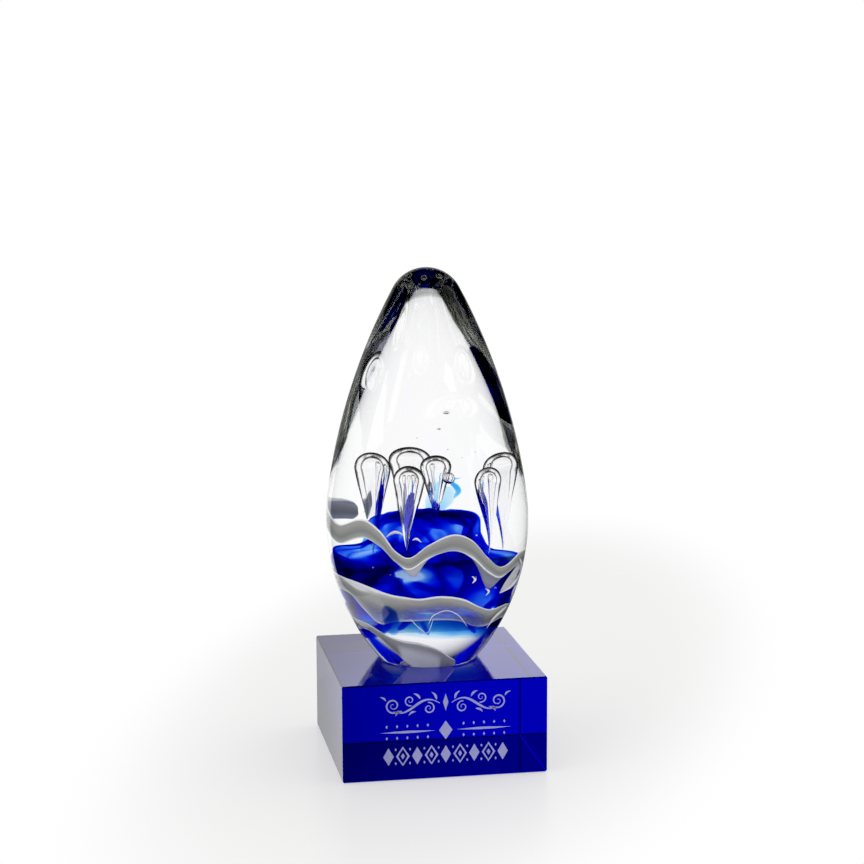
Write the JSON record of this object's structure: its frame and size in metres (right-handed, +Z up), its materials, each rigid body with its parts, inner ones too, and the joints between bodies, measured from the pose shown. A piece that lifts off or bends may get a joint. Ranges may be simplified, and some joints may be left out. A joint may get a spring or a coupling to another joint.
{
  "type": "crystal award",
  "caption": "Solid glass egg with teardrop air bubbles, a blue veil and a winding white trail inside, bonded to a square bevelled cobalt-blue crystal block.",
  "frame": {"origin": "centre of the crystal block's underside, on the surface that the award stands on", "axes": "+Z up along the egg's axis, -Y towards the etched front face, +X to the right of the front"},
  "size_m": [0.076, 0.076, 0.1839],
  "materials": {
    "cobalt_crystal": "polished, bevelled edges",
    "clear_adhesive": "clear cured film",
    "clear_glass": "fire polished",
    "cobalt_glass": "transparent cobalt layer, uneven thickness",
    "azure_glass": "thin transparent blue",
    "white_glass": "opaque to translucent white"
  },
  "bodies": {
    "root": {"base_block": "cobalt_crystal", "bond_film": "clear_adhesive", "clear_casing": "clear_glass", "clear_core": "clear_glass", "cobalt_veil": "cobalt_glass", "azure_band": "azure_glass", "cobalt_wisp": "azure_glass", "white_trail": "white_glass"}
  },
  "joints": []
}
